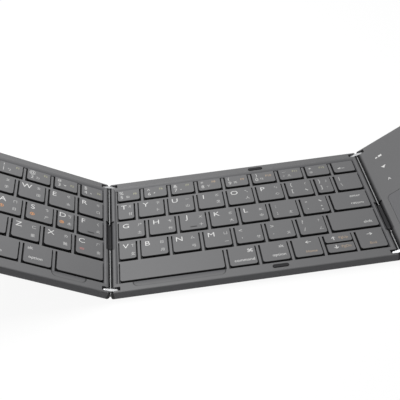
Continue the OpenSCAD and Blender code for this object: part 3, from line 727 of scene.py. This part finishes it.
class ShellOperator(bpy.types.Operator):
    """Paint the frames, covers, feet and bumpers"""

    bl_idname = "keyboard.shell"
    bl_label = "Shell"

    def execute(self, context):
        colours = context.scene.keyboard_colours
        # The sides of the frames get painted shade
        shaded_flank, dark = colours.flanks[:], colours.gap_shadow[:]
        for panel in PANELS:
            # The right frame gets the darker copy of the paint, a painted shade
            colour = colours.wing if panel == "right" else colours.shell
            coat = painted_frame(f"painted_{panel}", panel, colour, shaded_flank, dark)
            dress([f"{panel}_frame"], coat)
        cover = moulded(
            "cover_plastic",
            colours.covers,
            roughness=0.6,
            grain=0.0005,
            relief=0.00004,
            cloud=0.12,
        )
        dress([f"{panel}_bottom_cover" for panel in PANELS], cover)
        dress([f"{panel}_feet" for panel in PANELS], rubber("foot_rubber", colours.rubber))
        bumper = rubber("bumper_rubber", shade(colours.rubber, BUMPER_TONE), bumper_rim)
        dress(["closing_bumpers"], bumper)
        return {"FINISHED"}


def key_caps(panel_body):
    """Names of the key caps that move on the body of a panel."""
    parents = {joint["child"]: joint["parent"] for joint in frame["joints"]}
    return [
        node
        for body, nodes in frame["record"]["behaviour"]["bodies"].items()
        if body.endswith("_body") and parents[body] == panel_body
        for node in nodes
    ]


class KeysOperator(bpy.types.Operator):
    """Finish the key caps, the decks between them and what lies under them"""

    bl_idname = "keyboard.keys"
    bl_label = "Keys"

    def execute(self, context):
        colours = context.scene.keyboard_colours
        dark = colours.gap_shadow[:]
        for panel, body in (("left", "left_wing"), ("middle", "middle_panel")):
            # The sides of the caps and the edges of the deck windows get painted shadow
            cap = capped(f"cap_plastic_{panel}", panel, colours.keys, dark, CAP_SHADE_DEPTHS)
            dress(key_caps(body), cap)
            deck = capped(f"deck_plastic_{panel}", panel, colours.webs, dark, DECK_SHADE_DEPTHS)
            dress([f"{panel}_key_grid"], deck)
        plate = brushed("key_plate_steel", colours.metal, 0.4)
        dress(["middle_key_plate", "left_key_plate"], plate)
        domes = silicone("dome_silicone", colours.silicone)
        dress(["middle_dome_sheet", "left_dome_sheet"], domes)
        return {"FINISHED"}


def round_edges(layer, edges, offset, segments):
    """Bevels edges of a layer with a round profile."""
    bmesh.ops.bevel(
        layer,
        geom=list(edges),
        offset=offset,
        affect="EDGES",
        segments=segments,
        profile=0.5,
        material=-1,
    )


def box_between(low, high, turn, bevel):
    """Mesh of a bevelled bar between two corners, then turned into place."""
    layer = bmesh.new()
    size = [b - a for a, b in zip(low, high)]
    middle = [(a + b) / 2 for a, b in zip(low, high)]
    place = Matrix.Translation(middle) @ Matrix.Diagonal((*size, 1))
    bmesh.ops.create_cube(layer, size=1, matrix=place)
    round_edges(layer, layer.edges, bevel, 2)
    layer.transform(turn)
    return mesh_of(layer, "bar")


def strip_paint(side, colour, dark):
    """Paint of a seam strip, with painted shade over a short length in front of the cable sleeve."""
    finish = plastic(f"{side}_strip_plastic")
    ahead = finish.along((0, -1, 0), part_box(f"{side}_cable_sleeve")[0])
    reach = STRIP_SHADES[side] * MM
    shaded = finish.between(ahead, 0, 0.1 * reach) * (1 - finish.between(ahead, 0.8 * reach, reach))
    finish.colour(finish.mix(shaded, colour, dark))
    return finish


def seam_shade_strip(side, finish, sizes):
    """Thin grey strip in the gap between the round edges of a hinge, from plate to sleeve to plate; it
    stands in for the shaded floor seen through the gap.
    """
    near, far = HINGES[side]
    facing = (far - near).to_track_quat("X", "Z").to_matrix().to_4x4()
    turn = Matrix.Translation((near + far) / 2) @ facing
    plate, clear = [place * MM for place in LINK_PLATE], sizes.strip_clear
    inner, outer = (face * MM for face in STRIP_FACES[side])
    bevel, half = STRIP_BEVEL * (outer - inner), sizes.strip_height / 2
    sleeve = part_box(f"{side}_cable_sleeve")
    spans = (
        (FRONT + 2 * clear, FRONT + plate[0] - clear),
        (FRONT + plate[1] + clear, sleeve[0].y - clear),
        (sleeve[1].y + clear, BACK - plate[1] - clear),
        (BACK - plate[0] + clear, BACK - 2 * clear),
    )
    bars = (
        box_between((inner, start, -half), (outer, end, half), turn, bevel) for start, end in spans
    )
    mesh = mesh_of(merged(bars), f"{side}_seam_strip")
    piece = new_object(f"{side}_seam_strip", mesh, [finish])
    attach(piece, body_of(f"{side}_hinge_links"))


class HingesOperator(bpy.types.Operator):
    """Finish the hinge links and their cable sleeves, and lay in the seams the strips that stand in for
    the shaded floor seen through them
    """

    bl_idname = "keyboard.hinges"
    bl_label = "Hinges"

    def execute(self, context):
        colours, sizes = context.scene.keyboard_colours, context.scene.keyboard_sizes
        steel = brushed("link_steel", colours.metal, 0.32)
        dress([f"{side}_hinge_links" for side in HINGES], steel)
        sleeve = rubber("sleeve_rubber", shade(colours.rubber, SLEEVE_TONE))
        dress([f"{side}_cable_sleeve" for side in HINGES], sleeve)
        for side in HINGES:
            # Each side gets its own darker copy of the strip colour, a painted shade
            colour = shade(colours.strip, STRIP_SHADE_TONES[side])
            seam_shade_strip(side, strip_paint(side, colour, colours.gap_shadow[:]), sizes)
        return {"FINISHED"}


class TouchpadOperator(bpy.types.Operator):
    """Finish the touchpad and what lies in its wing"""

    bl_idname = "keyboard.touchpad"
    bl_label = "Touchpad wing"

    def execute(self, context):
        colours = context.scene.keyboard_colours
        film = moulded(
            "touchpad_film",
            colours.touchpad,
            roughness=0.42,
            grain=0.00012,
            relief=0.000006,
            cloud=0.02,
        )
        dress(["touchpad"], film)
        for node in ("main_board", "touchpad_board"):
            dress([node], lacquered(node + "_lacquer", colours.board))
        dress(["battery"], creased_foil("cell_foil", colours.foil))
        dress(["charging_port"], brushed("port_steel", colours.metal, 0.25))
        dress(["indicator_lenses"], printed("lens_plastic", colours.shell, 0.35))
        return {"FINISHED"}


class LettersOperator(bpy.types.Operator):
    """Print the legends of all keys and the signs of the lamps"""

    bl_idname = "keyboard.letters"
    bl_label = "Letters"

    def execute(self, context):
        colours, sizes = context.scene.keyboard_colours, context.scene.keyboard_sizes
        inks = [printed(ink + "_print", getattr(colours, ink)) for ink in INKS]
        for panel, table in LEGENDS.items():
            for node, marks in table.items():
                print_letters(node, panel, marks, inks, sizes)
        return {"FINISHED"}


def screw_head(radius, height, rounding=0.45, rim=0.35, recess=0.5):
    """Round screw head with a drive recess; its foot is at z = 0 and its top toward +Z.

    The rounding and the recess are shares of its height, the rim is a share of its radius.
    """
    layer = bmesh.new()
    bmesh.ops.create_cone(
        layer, cap_ends=True, segments=24, radius1=radius, radius2=radius, depth=height
    )
    bmesh.ops.translate(layer, verts=layer.verts, vec=(0, 0, height / 2))
    top = max(layer.faces, key=lambda face: face.calc_center_median().z)
    round_edges(layer, top.edges, height * rounding, 3)
    top = max(layer.faces, key=lambda face: face.calc_center_median().z)
    bmesh.ops.inset_region(layer, faces=[top], thickness=radius * rim)
    bmesh.ops.translate(layer, verts=top.verts, vec=(0, 0, -height * recess))
    return mesh_of(layer, "head")


def screw(panel, x, y, sizes):
    """Mesh of a screw head on the bottom cover of a panel."""
    mesh = screw_head(sizes.screw_head / 2, sizes.screw_height)
    place = Matrix.Translation((x * MM, y * MM, -2 * HALF_THICKNESS))
    downward = place @ Matrix.Rotation(math.pi, 4, "X")
    mesh.transform(PANELS[panel] @ downward)
    return mesh


class FastenersOperator(bpy.types.Operator):
    """Screw the bottom covers to their frames"""

    bl_idname = "keyboard.fasteners"
    bl_label = "Fasteners"

    def execute(self, context):
        colours, sizes = context.scene.keyboard_colours, context.scene.keyboard_sizes
        finish = brushed("screw_steel", shade(colours.metal, SCREW_TONE), 0.35, (1, 1, 1))
        edge = sizes.screw_edge / MM
        rows = (edge, DEPTH - edge)
        for panel, columns in SCREW_COLUMNS.items():
            screws = (screw(panel, x, y, sizes) for x in columns for y in rows)
            mesh = mesh_of(merged(screws), f"{panel}_screws")
            piece = new_object(f"{panel}_screws", mesh, [finish])
            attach(piece, body_of(f"{panel}_frame"))
        return {"FINISHED"}


def lay_floor(side):
    """White floor that shows its shadows softly."""
    layer = bmesh.new()
    bmesh.ops.create_grid(layer, x_segments=1, y_segments=1, size=side / 2)
    finish = Finish("floor_paper", 0.9)
    finish.colour((FLOOR_GREY, FLOOR_GREY, FLOOR_GREY))
    glow = finish.node("ShaderNodeEmission", {}, {"Color": (1, 1, 1), "Strength": 1})
    seen = FLOOR_GLOW * finish.rays("Camera", "Glossy", "Transmission")
    sockets = {0: seen, 1: finish.shader.outputs[0], 2: glow.outputs[0]}
    both = finish.node("ShaderNodeMixShader", {}, sockets)
    finish.put(finish.output.inputs["Surface"], both.outputs[0])
    floor = new_object("floor", mesh_of(layer, "floor"), [finish])


def fill_air(scene, strength):
    """World that lights from all round, and that is white where it is seen or mirrored."""
    world = bpy.data.worlds.new("studio")
    scene.world = world
    world.use_nodes = True
    air = Nodes(world.node_tree)
    fill = air.node("ShaderNodeBackground", {}, {"Color": (1, 1, 1), "Strength": strength})
    white = air.node("ShaderNodeBackground", {}, {"Color": (1, 1, 1), "Strength": 1})
    sockets = {0: air.rays("Camera", "Glossy"), 1: fill.outputs[0], 2: white.outputs[0]}
    both = air.node("ShaderNodeMixShader", {}, sockets)
    air.node("ShaderNodeOutputWorld", {}, {"Surface": both.outputs[0]})


def hang_lamp(scene, size, height, power):
    """Square lamp that looks straight down."""
    light = bpy.data.lights.new("lamp", "AREA")
    light.shape = "SQUARE"
    light.size = size
    light.energy = power
    lamp = bpy.data.objects.new("lamp", light)
    scene.collection.objects.link(lamp)
    lamp.matrix_world = Matrix.Translation((*LAMP_PLACE, height))


def camera_turn(pitch, yaw, roll):
    """Rotation of a camera that looks down by pitch and to the right by yaw, and is then rolled."""
    ahead = Vector(
        (math.sin(yaw) * math.cos(pitch), math.cos(yaw) * math.cos(pitch), -math.sin(pitch))
    )
    level = Vector((math.cos(yaw), -math.sin(yaw), 0))
    up = level.cross(ahead)
    across = level * math.cos(roll) - up * math.sin(roll)
    above = level * math.sin(roll) + up * math.cos(roll)
    return Matrix((across, above, -ahead)).transposed().to_4x4()


def set_camera(scene):
    """Camera of the main view."""
    data = bpy.data.cameras.new("camera")
    data.sensor_width = CAMERA_SENSOR
    data.lens = CAMERA_LENS
    data.clip_start = 0.01
    camera = bpy.data.objects.new("camera", data)
    scene.collection.objects.link(camera)
    turn = camera_turn(*(math.radians(angle) for angle in CAMERA_ANGLES))
    camera.matrix_world = Matrix.Translation(CAMERA_PLACE) @ turn
    scene.camera = camera
    scene.view_settings.view_transform = "Standard"


class StageOperator(bpy.types.Operator):
    """Lay the floor, set the light and place the camera"""

    bl_idname = "keyboard.stage"
    bl_label = "Stage"

    def execute(self, context):
        stage = context.scene.keyboard_stage
        lay_floor(stage.floor)
        fill_air(context.scene, stage.fill)
        hang_lamp(context.scene, stage.lamp_size, stage.lamp_height, stage.lamp_power)
        set_camera(context.scene)
        return {"FINISHED"}


OPERATORS = (
    ShellOperator,
    KeysOperator,
    HingesOperator,
    TouchpadOperator,
    LettersOperator,
    FastenersOperator,
    StageOperator,
)


class KeyboardPanel(bpy.types.Panel):
    """Steps, colours and sizes of the keyboard"""

    bl_idname = "VIEW3D_PT_keyboard"
    bl_label = "Folding keyboard"
    bl_space_type = "VIEW_3D"
    bl_region_type = "UI"
    bl_category = "Keyboard"

    def draw(self, context):
        for operator in OPERATORS:
            self.layout.operator(operator.bl_idname)
        for group in ("keyboard_colours", "keyboard_sizes", "keyboard_stage"):
            values = getattr(context.scene, group)
            for name in values.__annotations__:
                self.layout.prop(values, name)


CLASSES = (KeyboardColours, KeyboardSizes, KeyboardStage, *OPERATORS, KeyboardPanel)


def register():
    for cls in CLASSES:
        bpy.utils.register_class(cls)
    bpy.types.Scene.keyboard_colours = PointerProperty(type=KeyboardColours)
    bpy.types.Scene.keyboard_sizes = PointerProperty(type=KeyboardSizes)
    bpy.types.Scene.keyboard_stage = PointerProperty(type=KeyboardStage)


def unregister():
    del bpy.types.Scene.keyboard_colours
    del bpy.types.Scene.keyboard_sizes
    del bpy.types.Scene.keyboard_stage
    for cls in reversed(CLASSES):
        bpy.utils.unregister_class(cls)


def main():
    """Runs every step in order."""
    register()
    for operator in OPERATORS:
        group, name = operator.bl_idname.split(".")
        getattr(getattr(bpy.ops, group), name)()


if __name__ == "__main__":
    main()
